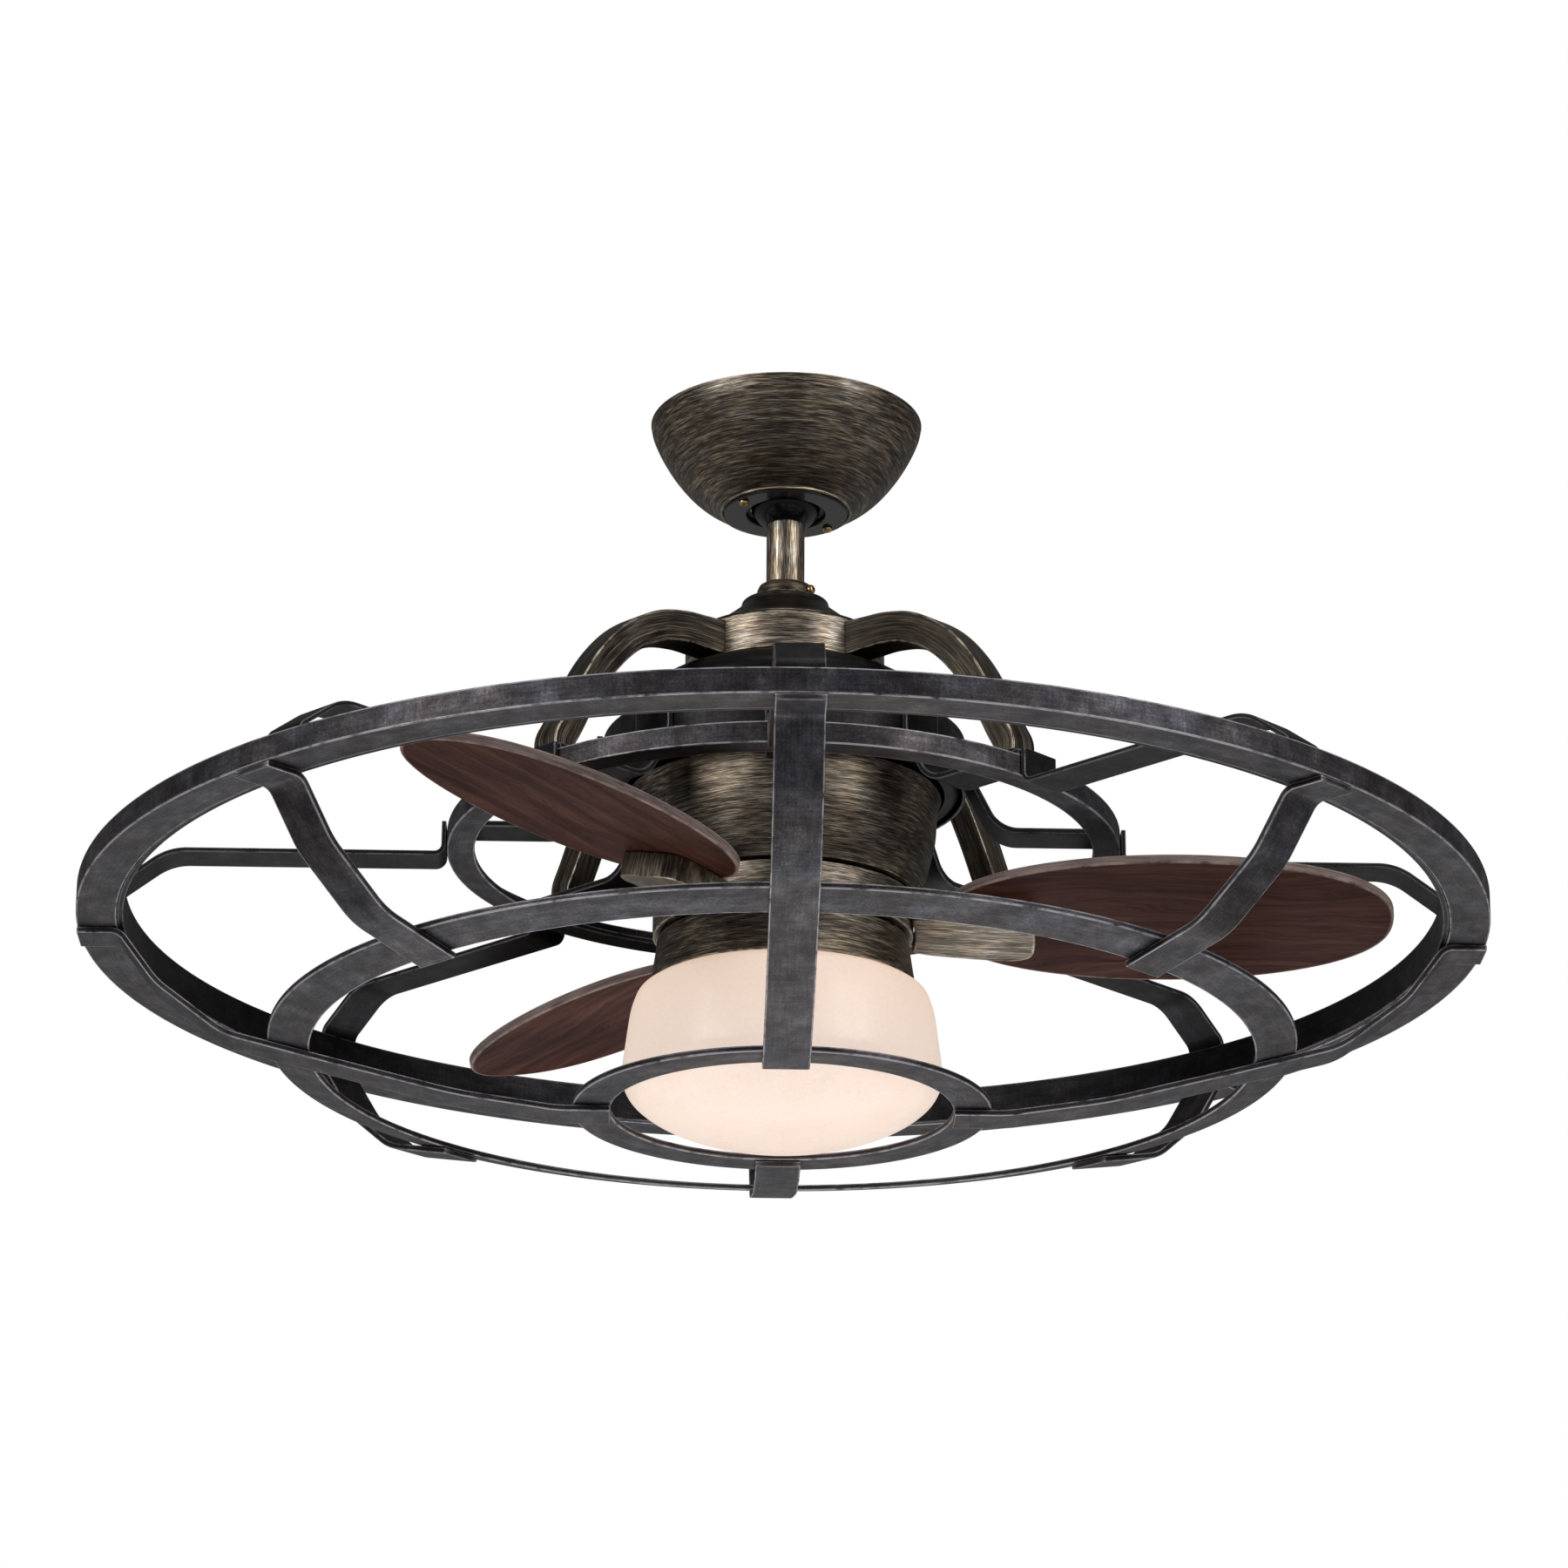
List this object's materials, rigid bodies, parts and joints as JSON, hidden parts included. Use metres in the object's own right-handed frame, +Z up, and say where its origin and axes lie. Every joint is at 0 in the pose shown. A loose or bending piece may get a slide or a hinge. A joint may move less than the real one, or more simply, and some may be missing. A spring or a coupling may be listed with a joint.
{
  "type": "ceiling fan with light",
  "caption": "Caged ceiling fan: leaf-shaped wooden blades turn inside a round strap-steel cage with an opal glass light below, hung by a rod and domed canopy from the ceiling.",
  "frame": {"origin": "on the fan's vertical axis, in the plane of the ceiling, at the middle of the hanger bracket's top face", "axes": "+Z up into the ceiling; the first blade points 1.2 degrees to the -Y side of +X at rest, and the viewer of the usual view stands at -Y"},
  "size_m": [0.9148, 0.9148, 0.5018],
  "materials": {
    "brushed_bronze": "dark antique bronze, brushed through to champagne streaks",
    "dark_steel": "weathered blue-grey steel, satin, bright worn edges",
    "black_enamel": "glossy black",
    "plain_steel": "zinc-plated, satin",
    "brass": "polished",
    "walnut": "dark walnut stain, satin, lighter worn edges",
    "opal_glass": "satin cream opal, lit from inside",
    "lamp_white": "frosted white",
    "wound_iron": "varnished copper windings on laminated iron",
    "cast_alloy": "as cast"
  },
  "bodies": {
    "ceiling_mount": {"hanger_bracket": "plain_steel", "canopy": "brushed_bronze", "canopy_cover": "black_enamel", "canopy_screw_1": "brass", "canopy_screw_2": "brass"},
    "fixture": {"arm_1": "brushed_bronze", "arm_2": "brushed_bronze", "arm_3": "brushed_bronze", "arm_4": "brushed_bronze", "ball_pin": "plain_steel", "bearing_lower": "plain_steel", "bearing_upper": "plain_steel", "bottom_ring": "dark_steel", "bulb_1": "lamp_white", "bulb_2": "lamp_white", "cage_hoop": "dark_steel", "cage_rim": "dark_steel", "cage_spider": "dark_steel", "collar_screw": "brass", "downrod": "brushed_bronze", "hanger_ball": "black_enamel", "lamp_plate": "plain_steel", "lamp_socket_1": "black_enamel", "lamp_socket_2": "black_enamel", "light_fitter": "brushed_bronze", "lower_housing": "brushed_bronze", "lower_long_strap_1": "dark_steel", "lower_long_strap_2": "dark_steel", "lower_long_strap_3": "dark_steel", "lower_long_strap_4": "dark_steel", "lower_short_strap_1": "dark_steel", "lower_short_strap_2": "dark_steel", "lower_short_strap_3": "dark_steel", "lower_short_strap_4": "dark_steel", "middle_ring": "dark_steel", "motor_shaft": "plain_steel", "motor_top_shell": "dark_steel", "rod_collar": "brushed_bronze", "stator": "wound_iron", "top_drum": "brushed_bronze", "top_strap_1": "dark_steel", "top_strap_2": "dark_steel", "top_strap_3": "dark_steel", "top_strap_4": "dark_steel", "top_strap_5": "dark_steel", "top_strap_6": "dark_steel", "top_strap_7": "dark_steel", "top_strap_8": "dark_steel", "upper_ring": "dark_steel", "yoke_cap": "brushed_bronze"},
    "rotor": {"rotor_bell": "cast_alloy", "flywheel": "brushed_bronze", "blade_iron_1": "brushed_bronze", "blade_iron_2": "brushed_bronze", "blade_iron_3": "brushed_bronze", "blade_1": "walnut", "blade_2": "walnut", "blade_3": "walnut"},
    "shade": {"glass_shade": "opal_glass"}
  },
  "joints": [
    {"name": "hanger_tilt", "type": "hinge", "parent": "ceiling_mount", "child": "fixture", "pos_m": [0, 0, -0.053], "axis": [0, 1, 0], "range_deg": [-12, 12]},
    {"name": "rotor_spin", "type": "hinge", "parent": "fixture", "child": "rotor", "pos_m": [0, 0, -0.3495], "axis": [0, 0, 1], "continuous": true},
    {"name": "shade_twist", "type": "hinge", "parent": "fixture", "child": "shade", "pos_m": [0, 0, -0.396], "axis": [0, 0, 1], "range_deg": [0, 25]}
  ]
}
